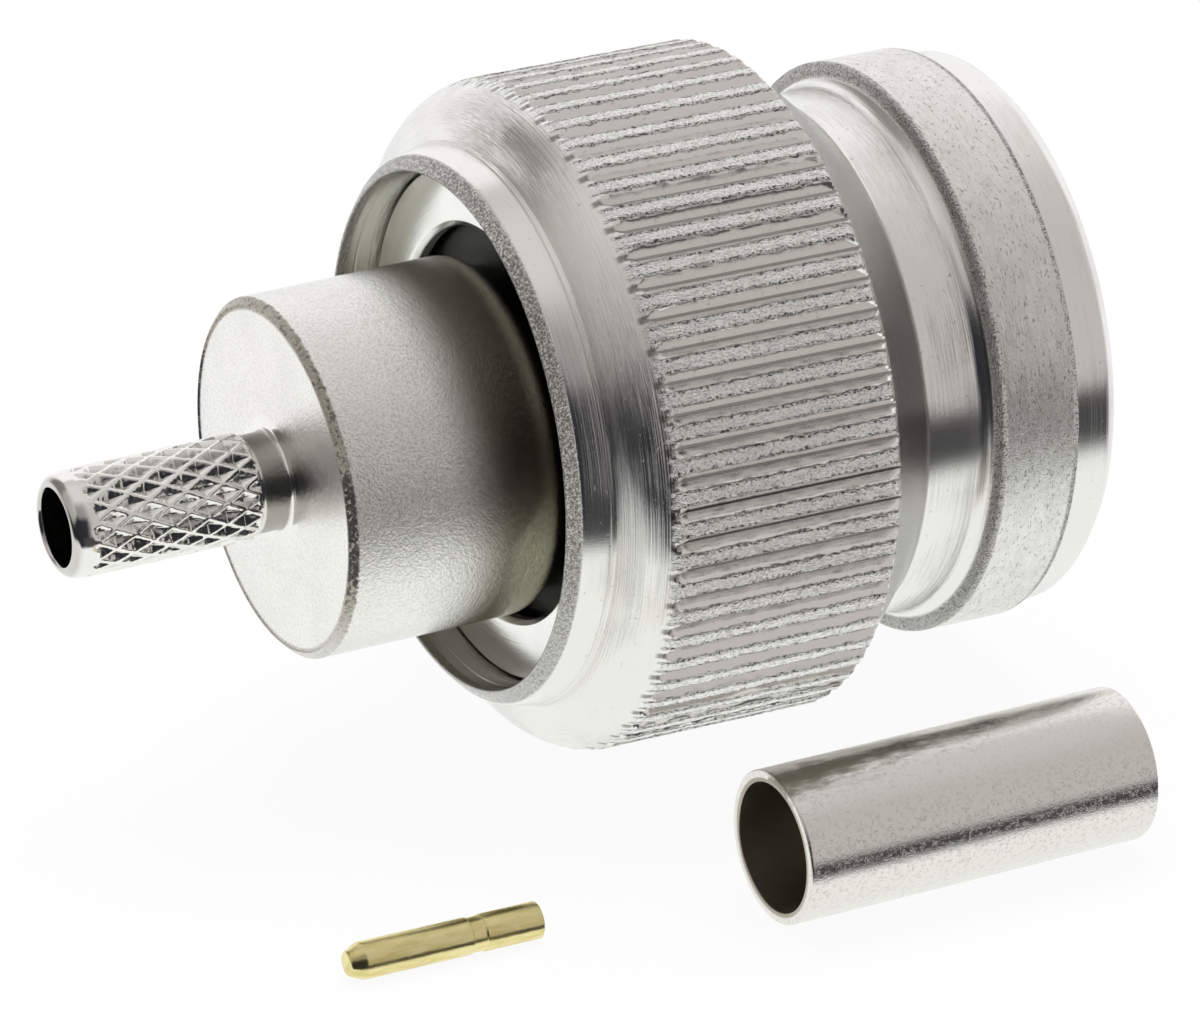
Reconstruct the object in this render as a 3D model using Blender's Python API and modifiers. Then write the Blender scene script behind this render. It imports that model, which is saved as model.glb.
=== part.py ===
"""A straight crimp plug of the threaded coaxial kind, lying on its side, with its two loose pieces.

The plug lies along X with its mating end at +X and rests on two ridges of its coupling nut.  Its centre
contact and its crimp ferrule lie beside it, as they do before the plug is put on a cable.
"""
import math

import bmesh
import bpy

# Body with its crimp barrel
BODY_RADIUS = 0.00401
BODY_OVERHANG = 0.00421        # rear face of the body to the lip of the nut
BODY_CHAMFER = 0.00025         # chamfer of the rear edge
BODY_SHOULDER_AT = 0.00035     # inside the lip, the body starts to run in here
BODY_SHOULDER_LENGTH = 0.0006
BODY_SHOULDER_DROP = 0.0004    # how much thinner the body is where it passes the washer
FLANGE_LENGTH = 0.0011
SPIGOT_LENGTH = 0.0013
SPIGOT_WALL = 0.00065
BARREL_LENGTH = 0.00512
BARREL_BORE_RADIUS = 0.00086
BARREL_WALL = 0.00023
BARREL_MOUTH_LENGTH = 0.0005   # smooth lead-in at the mouth
BARREL_MOUTH_ROUND = 0.00016
BARREL_NECK_LENGTH = 0.00075   # smooth neck between the knurl and the rear face
BARREL_FILLET = 0.0004
DIAMOND_HEIGHT = 0.00009
DIAMONDS_ROUND = 16
DIAMOND_ROWS = 9               # half diamonds along the barrel
CAVITY_FLOOR = 0.0012          # metal between the rear face and the cavity

# Washer that holds the nut on the body
WASHER_THICKNESS = 0.00035
WASHER_WIDTH = 0.00126
WASHER_STEP = 0.00025          # ledge in the nut that the washer is pressed against

# Coupling nut, from the rear lip to the front rim
RECESS_DEPTH = 0.00099         # from the lip to the washer's face
LIP_WALL = 0.00036
LIP_CHAMFER = 0.00017          # how far the lip's outer edge stands in front of its inner edge
COLLAR_LENGTH = 0.00079
COLLAR_FLARE = 0.00018         # the collar grows by this much towards the shoulder
SHOULDER_LENGTH = 0.0006       # rounded shoulder, up to the tips of the valleys
SHOULDER_RISE = 0.00094
KNURL_LENGTH = 0.00578         # from valley tip to valley tip
KNURL_DEPTH = 0.00027          # crest to valley
KNURL_RIDGES = 65
CREST_BEVEL = 0.00022          # the crests start this much further in than the valley tips
FRONT_CHAMFER_LENGTH = 0.00141
GROOVE_LENGTH = 0.00129
GROOVE_WALL = 0.00075          # metal between the thread and the groove
GROOVE_FILLET = 0.00027
RING_LENGTH = 0.0019
RING_HEIGHT = 0.00055          # marking ring above the groove
RIM_LENGTH = 0.00117
RIM_STEP = 0.0002              # the rim is this much smaller in radius than the marking ring
RIM_BEVEL = 0.00032
FLANGE_STOP = 0.0003           # how far the ledge in front of the flange reaches over it
LEDGE_LENGTH = 0.0009
THREAD_STEP = 0.00025          # from the ledge out to the crests of the thread
MOUTH_CHAMFER = 0.0005

# Outer contact, insulator and gasket
SLEEVE_WALL = 0.0007
SLEEVE_RECESS = 0.0024         # front of the sleeve behind the front of the nut
SLOT_WIDTH = 0.0004
SLOT_LENGTH = 0.0042
INSULATOR_SETBACK = 0.0046     # front of the insulator behind the front of the sleeve
GASKET_WIDTH = 0.0006
GASKET_THICKNESS = 0.0008

# Centre contact
PIN_RADIUS = 0.00041
PIN_WALL = 0.00015             # wall round the bore for the wire
PIN_TIP_BEVEL = 0.00014
PIN_TIP_LENGTH = 0.00031
PIN_FRONT_LENGTH = 0.0025
PIN_GROOVE_DEPTH = 0.000028
PIN_GROOVE_LENGTH = 0.00034
PIN_REAR_LENGTH = 0.00133

# Crimp ferrule
BRAID_ROOM = 0.00025           # room for the cable's braid between the barrel and the ferrule
FERRULE_WALL = 0.00027
FERRULE_LENGTH = 0.0086
FERRULE_EDGE = 0.00006

# Clearances between the pieces
FIT_GAP = 0.00005              # between pieces that are pressed or pushed together
NUT_CLEARANCE = 0.00043        # round the body in the washer, which lets the body hang low
FLANGE_CLEARANCE = 0.0003      # round the flange in the nut
END_PLAY = 0.00022             # free room on each side of the flange
JACK_ROOM = 0.0009             # between the sleeve and the ledge, for the gasket and the jack

# How the pieces lie
BODY_TILT = math.radians(1.1)  # the body hangs low at its rear, turned about the sleeve's front
FERRULE_ASIDE = 0.01085        # middle of the ferrule to the axis of the plug, sideways
FERRULE_ALONG = 0.00655        # middle of the ferrule in front of the lip of the nut
FERRULE_TURN = math.radians(1.8)
PIN_ASIDE = 0.00948
PIN_TIP_ALONG = -0.00704       # tip of the pin in front of the lip of the nut
PIN_TURN = math.radians(0.5)

# Fineness of the round pieces
BODY_STEPS = 4 * DIAMONDS_ROUND
SMALL_STEPS = 34
PIN_STEPS = 24
SHARP_ANGLE = math.radians(25)
MERGE_DISTANCE = 1e-7

# Radii, from the body outwards to the grip and inwards to the contact
WASHER_HOLE_RADIUS = BODY_RADIUS + NUT_CLEARANCE
WASHER_RADIUS = WASHER_HOLE_RADIUS + WASHER_WIDTH
RECESS_RADIUS = WASHER_RADIUS + FIT_GAP
LIP_RADIUS = RECESS_RADIUS + LIP_WALL
COLLAR_RADIUS = LIP_RADIUS + COLLAR_FLARE
VALLEY_RADIUS = COLLAR_RADIUS + SHOULDER_RISE
NUT_RADIUS = VALLEY_RADIUS + KNURL_DEPTH
FLANGE_ROOM_RADIUS = RECESS_RADIUS - WASHER_STEP
FLANGE_RADIUS = FLANGE_ROOM_RADIUS - FLANGE_CLEARANCE
LEDGE_RADIUS = FLANGE_RADIUS - FLANGE_STOP
THREAD_RADIUS = LEDGE_RADIUS + THREAD_STEP
GROOVE_RADIUS = THREAD_RADIUS + GROOVE_WALL
RING_RADIUS = GROOVE_RADIUS + RING_HEIGHT
RIM_RADIUS = RING_RADIUS - RIM_STEP
SLEEVE_RADIUS = LEDGE_RADIUS - JACK_ROOM
SLEEVE_BORE = SLEEVE_RADIUS - SLEEVE_WALL
SPIGOT_RADIUS = SLEEVE_BORE - FIT_GAP
CAVITY_RADIUS = SPIGOT_RADIUS - SPIGOT_WALL
BARREL_RADIUS = BARREL_BORE_RADIUS + BARREL_WALL
FERRULE_BORE = BARREL_RADIUS + DIAMOND_HEIGHT + BRAID_ROOM
FERRULE_RADIUS = FERRULE_BORE + FERRULE_WALL

# Places along the plug, measured from the rear lip of the nut
COLLAR_END = LIP_CHAMFER + COLLAR_LENGTH
KNURL_START = COLLAR_END + SHOULDER_LENGTH
KNURL_END = KNURL_START + KNURL_LENGTH
GROOVE_START = KNURL_END + FRONT_CHAMFER_LENGTH
GROOVE_END = GROOVE_START + GROOVE_LENGTH
RING_START = GROOVE_END + GROOVE_FILLET
RING_END = RING_START + RING_LENGTH
NUT_LENGTH = RING_END + RIM_LENGTH
WASHER_FRONT = RECESS_DEPTH + WASHER_THICKNESS
FLANGE_ROOM_START = WASHER_FRONT + FIT_GAP
FLANGE_START = WASHER_FRONT + END_PLAY
FLANGE_END = FLANGE_START + FLANGE_LENGTH
FLANGE_ROOM_END = FLANGE_END + END_PLAY
LEDGE_END = FLANGE_ROOM_END + LEDGE_LENGTH
SPIGOT_END = FLANGE_END + SPIGOT_LENGTH
BODY_REAR = -BODY_OVERHANG
BARREL_REAR = BODY_REAR - BARREL_LENGTH
SLEEVE_START = FLANGE_END + FIT_GAP
SLEEVE_END = NUT_LENGTH - SLEEVE_RECESS
INSULATOR_END = SLEEVE_END - INSULATOR_SETBACK
PIN_LENGTH = PIN_TIP_LENGTH + PIN_FRONT_LENGTH + PIN_GROOVE_LENGTH + PIN_REAR_LENGTH

# The origin is the middle of the whole set, on the surface that it lies on
LIP_X = (BODY_OVERHANG + BARREL_LENGTH - NUT_LENGTH) / 2
FERRULE_REACH = FERRULE_RADIUS * math.cos(FERRULE_TURN) + FERRULE_LENGTH / 2 * math.sin(FERRULE_TURN)
AXIS_Y = (FERRULE_ASIDE + FERRULE_REACH - NUT_RADIUS) / 2
AXIS_Z = NUT_RADIUS * math.cos(math.pi / KNURL_RIDGES)


def clear_scene():
    for old in list(bpy.data.objects):
        bpy.data.objects.remove(old, do_unlink=True)


def new_collection(name):
    collection = bpy.data.collections.new(name)
    bpy.context.scene.collection.children.link(collection)
    return collection


def new_material(name, colour, roughness, metallic):
    material = bpy.data.materials.new(name)
    material.use_nodes = True
    shader = material.node_tree.nodes["Principled BSDF"]
    shader.inputs["Base Color"].default_value = (*colour, 1)
    shader.inputs["Roughness"].default_value = roughness
    shader.inputs["Metallic"].default_value = metallic
    return material


def new_empty(name, location, rotation, collection):
    empty = bpy.data.objects.new(name, None)
    empty.location = location
    empty.rotation_euler = rotation
    collection.objects.link(empty)
    return empty


def arc(centre, radius, start, end, points):
    """Points on an arc as (radius, place), angles in degrees from the outward direction."""
    out = []
    for index in range(points + 1):
        angle = math.radians(start + (end - start) * index / points)
        out.append((centre[0] + radius * math.cos(angle), centre[1] + radius * math.sin(angle)))
    return out


def turned(name, outer, inner, steps, collection, closed=True):
    """A turned piece about its own Z.  outer runs from front to rear, inner from rear to front."""
    points = [(radius, 0, place) for radius, place in outer + inner]
    edges = [(index, index + 1) for index in range(len(points) - 1)]
    if closed:
        edges.append((len(points) - 1, 0))
    profile = bpy.data.meshes.new(name + "_profile")
    profile.from_pydata(points, edges, [])
    piece = bpy.data.objects.new(name, profile)
    collection.objects.link(piece)
    screw = piece.modifiers.new("Turn", "SCREW")
    screw.axis = "Z"
    screw.angle = 2 * math.pi
    screw.steps = steps
    screw.render_steps = steps
    screw.use_merge_vertices = True
    screw.merge_threshold = MERGE_DISTANCE
    bake(piece)
    bpy.data.meshes.remove(profile)
    return piece


def bake(piece):
    """Turn the evaluated form of a piece into its plain mesh."""
    bpy.context.view_layer.update()
    evaluated = piece.evaluated_get(bpy.context.evaluated_depsgraph_get())
    mesh = bpy.data.meshes.new_from_object(evaluated)
    mesh.name = piece.name
    piece.modifiers.clear()
    piece.data = mesh
    return piece


def finish(piece, material, parent, location, turn=0.0):
    """Shade a turned piece, lay its own Z along X and set it in its place."""
    piece.data.shade_smooth()
    piece.data.set_sharp_from_angle(angle=SHARP_ANGLE)
    piece.data.materials.clear()
    piece.data.materials.append(material)
    piece.rotation_mode = "XYZ"
    piece.rotation_euler = (0, math.pi / 2, turn)
    piece.location = location
    piece.parent = parent
    return piece


def cut_valleys(piece):
    """Press every second line of the grip in, the lowest one too, which leaves straight ridges."""
    crest_start = KNURL_START + CREST_BEVEL
    crest_end = KNURL_END - CREST_BEVEL
    middle = (crest_start + crest_end) / 2
    half = (crest_end - crest_start) / 2 + MERGE_DISTANCE
    for vertex in piece.data.vertices:
        x, y, z = vertex.co
        radius = math.hypot(x, y)
        if abs(z - middle) > half or radius < RECESS_RADIUS:
            continue
        line = round(math.atan2(y, x) / (math.pi / KNURL_RIDGES))
        if line % 2 == 0:
            scale = VALLEY_RADIUS / radius
            vertex.co = (x * scale, y * scale, z)


def raise_diamonds(piece, rows):
    """Raise the crossings of the diamond net on the barrel, each row half a diamond on from the last."""
    for vertex in piece.data.vertices:
        x, y, z = vertex.co
        radius = math.hypot(x, y)
        if abs(radius - BARREL_RADIUS) > DIAMOND_HEIGHT:
            continue
        for number, place in enumerate(rows):
            if abs(z - place) > MERGE_DISTANCE:
                continue
            line = round(math.atan2(y, x) / (2 * math.pi / BODY_STEPS))
            if (line - 2 * number) % 4 == 0:
                scale = (BARREL_RADIUS + DIAMOND_HEIGHT) / radius
                vertex.co = (x * scale, y * scale, z)


def make_nut(collection, material, parent):
    shoulder_bulge = SHOULDER_RISE * math.sqrt(0.5)
    outer = [
        (RIM_RADIUS - RIM_BEVEL, NUT_LENGTH),
        (RIM_RADIUS, NUT_LENGTH - RIM_BEVEL),
        (RIM_RADIUS, RING_END),
        (RING_RADIUS, RING_END),
        (RING_RADIUS, RING_START),
        (GROOVE_RADIUS + GROOVE_FILLET, RING_START),
        (GROOVE_RADIUS, GROOVE_END),
        (GROOVE_RADIUS, GROOVE_START),
        (VALLEY_RADIUS, KNURL_END),
        (NUT_RADIUS, KNURL_END - CREST_BEVEL),
        (NUT_RADIUS, KNURL_START + CREST_BEVEL),
        (VALLEY_RADIUS, KNURL_START),
        (COLLAR_RADIUS + shoulder_bulge, KNURL_START - SHOULDER_LENGTH * math.sqrt(0.5)),
        (COLLAR_RADIUS, COLLAR_END),
        (LIP_RADIUS, LIP_CHAMFER),
    ]
    inner = [
        (RECESS_RADIUS, 0),
        (RECESS_RADIUS, FLANGE_ROOM_START),
        (FLANGE_ROOM_RADIUS, FLANGE_ROOM_START),
        (FLANGE_ROOM_RADIUS, FLANGE_ROOM_END),
        (LEDGE_RADIUS, FLANGE_ROOM_END),
        (LEDGE_RADIUS, LEDGE_END),
        (THREAD_RADIUS, LEDGE_END),
        (THREAD_RADIUS, NUT_LENGTH - MOUTH_CHAMFER),
        (THREAD_RADIUS + MOUTH_CHAMFER, NUT_LENGTH),
    ]
    nut = turned("coupling_nut", outer, inner, 2 * KNURL_RIDGES, collection)
    cut_valleys(nut)
    return finish(nut, material, parent, (0, 0, 0))


def make_washer(collection, material, parent):
    outer = [(WASHER_RADIUS, WASHER_FRONT), (WASHER_RADIUS, RECESS_DEPTH)]
    inner = [(WASHER_HOLE_RADIUS, RECESS_DEPTH), (WASHER_HOLE_RADIUS, WASHER_FRONT)]
    washer = turned("retaining_washer", outer, inner, SMALL_STEPS, collection)
    return finish(washer, material, parent, (0, 0, 0))


def make_body(collection, material, parent):
    knurl_start = BARREL_REAR + BARREL_MOUTH_LENGTH
    knurl_end = BODY_REAR - BARREL_NECK_LENGTH
    pitch = (knurl_end - knurl_start) / DIAMOND_ROWS
    rows = [knurl_start + pitch * (number + 0.5) for number in range(DIAMOND_ROWS)]
    fillet = arc(
        (BARREL_RADIUS + BARREL_FILLET, BODY_REAR - BARREL_FILLET), BARREL_FILLET, 90, 180, 2
    )
    outer = [
        (SPIGOT_RADIUS, SPIGOT_END),
        (SPIGOT_RADIUS, FLANGE_END),
        (FLANGE_RADIUS, FLANGE_END),
        (FLANGE_RADIUS, FLANGE_START),
        (BODY_RADIUS - BODY_SHOULDER_DROP, FLANGE_START),
        (BODY_RADIUS - BODY_SHOULDER_DROP, BODY_SHOULDER_AT + BODY_SHOULDER_LENGTH),
        (BODY_RADIUS, BODY_SHOULDER_AT),
        (BODY_RADIUS, BODY_REAR + BODY_CHAMFER),
        (BODY_RADIUS - BODY_CHAMFER, BODY_REAR),
        *fillet,
        (BARREL_RADIUS, knurl_end),
        *((BARREL_RADIUS, place) for place in reversed(rows)),
        (BARREL_RADIUS, knurl_start),
        (BARREL_RADIUS, BARREL_REAR + BARREL_MOUTH_ROUND),
        (BARREL_RADIUS - BARREL_MOUTH_ROUND, BARREL_REAR),
    ]
    inner = [
        (BARREL_BORE_RADIUS, BARREL_REAR),
        (BARREL_BORE_RADIUS, BODY_REAR + CAVITY_FLOOR),
        (CAVITY_RADIUS, BODY_REAR + CAVITY_FLOOR),
        (CAVITY_RADIUS, SPIGOT_END),
    ]
    body = turned("plug_body", outer, inner, BODY_STEPS, collection)
    raise_diamonds(body, rows)
    return finish(body, material, parent, (0, 0, 0))


def make_outer_contact(collection, cutters, material, parent):
    outer = [(SLEEVE_RADIUS, SLEEVE_END), (SLEEVE_RADIUS, SLEEVE_START)]
    inner = [(SLEEVE_BORE, SLEEVE_START), (SLEEVE_BORE, SLEEVE_END)]
    sleeve = turned("outer_contact", outer, inner, SMALL_STEPS, collection)
    for number in range(2):
        cutter = slot_cutter(f"slot_cutter_{number}", math.pi * (number / 2 + 1 / 4), cutters)
        cut = sleeve.modifiers.new(f"Slots {number}", "BOOLEAN")
        cut.operation = "DIFFERENCE"
        cut.solver = "EXACT"
        cut.object = cutter
    bake(sleeve)
    return finish(sleeve, material, parent, (0, 0, 0))


def slot_cutter(name, angle, cutters):
    """A thin plate through the sleeve's axis that cuts two of its slots."""
    shape = bmesh.new()
    bmesh.ops.create_cube(shape, size=1)
    bmesh.ops.scale(shape, vec=(3 * SLEEVE_RADIUS, SLOT_WIDTH, 2 * SLOT_LENGTH), verts=shape.verts)
    mesh = bpy.data.meshes.new(name)
    shape.to_mesh(mesh)
    shape.free()
    cutter = bpy.data.objects.new(name, mesh)
    cutter.location = (0, 0, SLEEVE_END)
    cutter.rotation_euler = (0, 0, angle)
    cutter.hide_render = True
    cutter.display_type = "WIRE"
    cutters.objects.link(cutter)
    return cutter


def make_insulator(collection, material, parent):
    head_radius = SLEEVE_BORE - FIT_GAP
    tail_radius = CAVITY_RADIUS - FIT_GAP
    head_start = SPIGOT_END + FIT_GAP
    tail_start = BODY_REAR + CAVITY_FLOOR + FIT_GAP
    hole = PIN_RADIUS + FIT_GAP
    outer = [(head_radius, INSULATOR_END), (head_radius, head_start), (tail_radius, head_start),
             (tail_radius, tail_start)]
    inner = [(hole, tail_start), (hole, INSULATOR_END)]
    insulator = turned("insulator", outer, inner, SMALL_STEPS, collection)
    return finish(insulator, material, parent, (0, 0, 0))


def make_gasket(collection, material, parent):
    start = FLANGE_END + FIT_GAP
    end = start + GASKET_THICKNESS
    bore = SLEEVE_RADIUS + FIT_GAP
    outer = [(bore + GASKET_WIDTH, end), (bore + GASKET_WIDTH, start)]
    inner = [(bore, start), (bore, end)]
    gasket = turned("gasket", outer, inner, SMALL_STEPS, collection)
    return finish(gasket, material, parent, (0, 0, 0))


def make_centre_contact(collection, material):
    """The loose pin, its pointed end towards the cable end of the plug."""
    cone_end = PIN_TIP_LENGTH
    groove_start = cone_end + PIN_FRONT_LENGTH
    groove_end = groove_start + PIN_GROOVE_LENGTH
    outer = [
        (PIN_RADIUS, PIN_LENGTH),
        (PIN_RADIUS, groove_end),
        (PIN_RADIUS - PIN_GROOVE_DEPTH, groove_end),
        (PIN_RADIUS - PIN_GROOVE_DEPTH, groove_start),
        (PIN_RADIUS, groove_start),
        (PIN_RADIUS, cone_end),
        (PIN_RADIUS - PIN_TIP_BEVEL, 0),
        (0, 0),
    ]
    bore_radius = PIN_RADIUS - PIN_WALL
    bore = [(0, groove_end), (bore_radius, groove_end), (bore_radius, PIN_LENGTH)]
    pin = turned("centre_contact", bore + outer, [], PIN_STEPS, collection, closed=False)
    place = (LIP_X + PIN_TIP_ALONG, AXIS_Y - PIN_ASIDE, PIN_RADIUS)
    return finish(pin, material, None, place, PIN_TURN)


def make_ferrule(collection, material):
    half = FERRULE_LENGTH / 2
    outer = [
        (FERRULE_RADIUS - FERRULE_EDGE, half),
        (FERRULE_RADIUS, half - FERRULE_EDGE),
        (FERRULE_RADIUS, FERRULE_EDGE - half),
        (FERRULE_RADIUS - FERRULE_EDGE, -half),
    ]
    inner = [(FERRULE_BORE, -half), (FERRULE_BORE, half)]
    ferrule = turned("crimp_ferrule", outer, inner, SMALL_STEPS, collection)
    place = (LIP_X + FERRULE_ALONG, AXIS_Y - FERRULE_ASIDE, FERRULE_RADIUS)
    return finish(ferrule, material, None, place, FERRULE_TURN)


def main():
    clear_scene()
    parts = new_collection("tnc_connector")
    cutters = new_collection("cutters")
    bright_nickel = new_material("bright_nickel", (0.75, 0.73, 0.70), 0.22, 1)
    satin_nickel = new_material("satin_nickel", (0.70, 0.68, 0.65), 0.42, 1)
    gold = new_material("gold_plating", (0.86, 0.70, 0.42), 0.25, 1)
    white_plastic = new_material("white_fluoropolymer", (0.88, 0.88, 0.86), 0.5, 0)
    silicone = new_material("red_silicone", (0.55, 0.12, 0.08), 0.6, 0)

    nut_axis = new_empty("nut_axis", (LIP_X, AXIS_Y, AXIS_Z), (0, 0, 0), parts)
    body_axis = new_empty("body_axis", (LIP_X + SLEEVE_END, AXIS_Y, AXIS_Z), (0, -BODY_TILT, 0), parts)
    body_lip = new_empty("body_lip", (-SLEEVE_END, 0, 0), (0, 0, 0), parts)
    body_lip.parent = body_axis

    make_nut(parts, bright_nickel, nut_axis)
    make_washer(parts, bright_nickel, nut_axis)
    make_body(parts, satin_nickel, body_lip)
    make_outer_contact(parts, cutters, bright_nickel, body_lip)
    make_insulator(parts, white_plastic, body_lip)
    make_gasket(parts, silicone, body_lip)
    make_centre_contact(parts, gold)
    make_ferrule(parts, bright_nickel)
    bpy.context.view_layer.update()


main()
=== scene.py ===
"""Looks of a straight crimp coaxial plug with a knurled coupling nut, its loose contact and its ferrule.

Each operator makes one piece, or the stage.  Pieces are modelled about the X axis, with the nut's rear lip
at zero, and are then moved into their place in the row frame.  Lengths are in metres.
"""

import math

import bmesh
import bpy
import numpy as np
from bpy.props import FloatProperty, FloatVectorProperty, IntProperty, PointerProperty
from mathutils import Matrix, Vector


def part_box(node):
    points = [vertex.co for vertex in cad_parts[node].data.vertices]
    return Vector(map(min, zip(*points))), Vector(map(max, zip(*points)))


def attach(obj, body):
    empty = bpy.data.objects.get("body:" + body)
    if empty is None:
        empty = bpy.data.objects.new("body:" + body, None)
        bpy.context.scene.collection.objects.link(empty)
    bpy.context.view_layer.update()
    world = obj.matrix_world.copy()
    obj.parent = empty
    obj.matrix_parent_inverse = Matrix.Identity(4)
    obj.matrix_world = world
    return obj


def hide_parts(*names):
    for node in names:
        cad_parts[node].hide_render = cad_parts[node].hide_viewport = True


bl_info = {
    "name": "Threaded crimp plug",
    "version": (1, 0, 0),
    "blender": (4, 5, 0),
    "location": "3D View > Sidebar > Crimp plug",
    "description": "Makes the visible pieces of a knurled coaxial crimp plug round its packed solids",
    "category": "Add Mesh",
}

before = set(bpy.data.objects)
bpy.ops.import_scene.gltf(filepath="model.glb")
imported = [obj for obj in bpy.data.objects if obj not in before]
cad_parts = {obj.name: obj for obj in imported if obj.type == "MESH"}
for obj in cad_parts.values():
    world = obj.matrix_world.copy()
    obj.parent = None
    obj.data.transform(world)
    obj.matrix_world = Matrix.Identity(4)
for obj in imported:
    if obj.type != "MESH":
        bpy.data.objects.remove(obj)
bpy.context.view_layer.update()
NUT_LOW, NUT_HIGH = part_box("coupling_nut")
FERRULE_LOW, FERRULE_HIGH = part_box("crimp_ferrule")
PIN_LOW, PIN_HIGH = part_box("centre_contact")

# Where the pieces lie
NUT_RADIUS = 0.0075            # the nut rests on two ridges, and one ridge points straight up
LIP = Vector((NUT_LOW[0], (NUT_LOW[1] + NUT_HIGH[1]) / 2, NUT_HIGH[2] - NUT_RADIUS))
SLEEVE_FRONT = 0.01098         # the body hangs low, turned about this place on the axis
BODY_TILT = math.radians(1.1)
FERRULE_TURN = math.radians(1.8)
PIN_TURN = math.radians(0.5)
MERGE = 1e-7                   # points nearer than this become one

# Sizes that two pieces share; places along the plug are counted from the nut's rear lip
WASHER_REAR, WASHER_FRONT = 0.00099, 0.00134
FLANGE_FRONT = 0.00266         # front of the body's flange, where the sleeve and the gasket stand
THREAD_START, THREAD_END = 0.00378, 0.01288
BORE_STEP = 0.0012             # the body's rear face to the step in its bore
BEAD_RADIUS = 0.0026           # bore of the body round the insulator
CLEARANCE = 0.00005            # between two pieces that stand against each other

CAMERA_PLACE = (-0.080945, -0.159048, 0.08595)
CAMERA_DOWN, CAMERA_TURN = math.radians(24.093), math.radians(-27.0935)
LAMP_PLACE = Vector((0.03, 0.08, 0.35))
FLOOR_REACH = 1.5


def length(name, description, default):
    """A property for a size."""
    return FloatProperty(name=name, description=description, default=default, min=0, precision=6,
                         unit="LENGTH")


def share(name, description, default):
    """A property between nothing and all."""
    return FloatProperty(name=name, description=description, default=default, min=0, max=1, subtype="FACTOR")


def colour(name, description, default):
    """A property for a surface colour, linear."""
    return FloatVectorProperty(name=name, description=description, default=default, size=3, min=0, max=1,
                               subtype="COLOR")


class NutSettings(bpy.types.PropertyGroup):
    """Sizes of the coupling nut, places counted from its rear lip."""
    crest_radius: length("Crest radius", "Axis to the top of a ridge", 0.007494)
    valley_radius: length("Valley radius", "Axis to the bottom of a groove of the grip", 0.00723)
    ridges: IntProperty(name="Ridges", description="Ridges round the grip", default=65, min=8)
    groove_share: share("Groove share", "Half the width of a groove, as a share of the pitch", 0.29)
    floor_share: share("Groove floor", "Half the flat at the bottom, as a share of the pitch", 0.022)
    tear_depth: length("Tear depth", "How deep the torn spots in the lands are", 0.000035)
    edge_wear: share("Edge wear", "How ragged the edges of the lands are", 0.13)
    lip_radius: length("Lip radius", "Outer radius of the rear lip", 0.00611)
    collar_radius: length("Collar radius", "Radius of the collar at the shoulder", 0.00629)
    recess_radius: length("Recess radius", "Bore behind the washer", 0.00575)
    groove_radius: length("Groove radius", "Floor of the turned groove", 0.0059)
    ring_radius: length("Ring radius", "Marking ring in front of the groove", 0.00645)
    rim_radius: length("Rim radius", "Front rim", 0.00625)
    thread_crest: length("Thread crest", "Radius of the crests of the inner thread", 0.00515)
    thread_root: length("Thread root", "Radius of the roots of the inner thread", 0.00553)
    thread_pitch: length("Thread pitch", "Advance of the thread in one turn", 0.000907)


class BodySettings(bpy.types.PropertyGroup):
    """Sizes of the body, its crimp barrel and what it carries."""
    body_radius: length("Body radius", "Outer radius of the body", 0.00401)
    overhang: length("Overhang", "Rear face of the body to the lip of the nut", 0.00421)
    barrel_length: length("Barrel length", "Crimp barrel behind the rear face", 0.00512)
    net_radius: length("Net radius", "Radius of the raised lines on the barrel", 0.00118)
    pit_depth: length("Pit depth", "Depth of the diamonds between the lines", 0.00013)
    bore_radius: length("Bore radius", "Bore of the barrel", 0.00086)
    diamonds: IntProperty(name="Diamonds", description="Diamonds round the barrel", default=16, min=4)
    diamond_length: length("Diamond length", "One diamond along the barrel", 0.00087)
    line_share: share("Line share", "Half the width of a raised line, as a share of the pitch", 0.07)
    sleeve_radius: length("Sleeve radius", "Outer radius of the slotted contact", 0.004)
    sleeve_bore: length("Sleeve bore", "Bore of the slotted contact", 0.0033)
    slot_width: length("Slot width", "Width of the contact's slots", 0.0004)
    slot_length: length("Slot length", "Length of the contact's slots", 0.0042)


class LooseSettings(bpy.types.PropertyGroup):
    """Sizes of the two pieces that lie beside the plug."""
    ferrule_radius: length("Ferrule radius", "Outer radius of the ferrule", 0.001692)
    ferrule_bore: length("Ferrule bore", "Bore of the ferrule", 0.00143)
    ferrule_length: length("Ferrule length", "Length of the ferrule", 0.0086)
    pin_radius: length("Contact radius", "Radius of the centre contact", 0.00041)
    pin_tip_radius: length("Tip radius", "Radius of the flat at the contact's tip", 0.00027)
    pin_tip_length: length("Tip length", "Length of the bevel at the contact's tip", 0.00031)
    pin_front_length: length("Front length", "Tip's bevel to the groove", 0.0025)
    pin_groove_length: length("Groove length", "Width of the shallow groove", 0.00034)
    pin_rear_length: length("Rear length", "Groove to the rear end", 0.00133)


class FinishSettings(bpy.types.PropertyGroup):
    """Colours of the finishes."""
    nickel: colour("Nickel", "Bright nickel plating", (0.88, 0.87, 0.845))
    satin_nickel: colour("Satin nickel", "Bead-blasted nickel plating", (0.95, 0.94, 0.915))
    # painted shade: dark colour for the grip's groove floors and notches, and for the dark specks of the torn
    # spots, which are partly the torn metal's own colour
    painted_grip_shade: colour("Painted grip shade", "Shade in the torn lands of the grip", (0.12, 0.115, 0.10))
    gold: colour("Gold", "Gold plating of the contact", (0.90, 0.80, 0.42))
    fluoropolymer: colour("Fluoropolymer", "White insulator", (0.86, 0.86, 0.84))
    silicone: colour("Silicone", "Gasket", (0.50, 0.11, 0.07))


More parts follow.
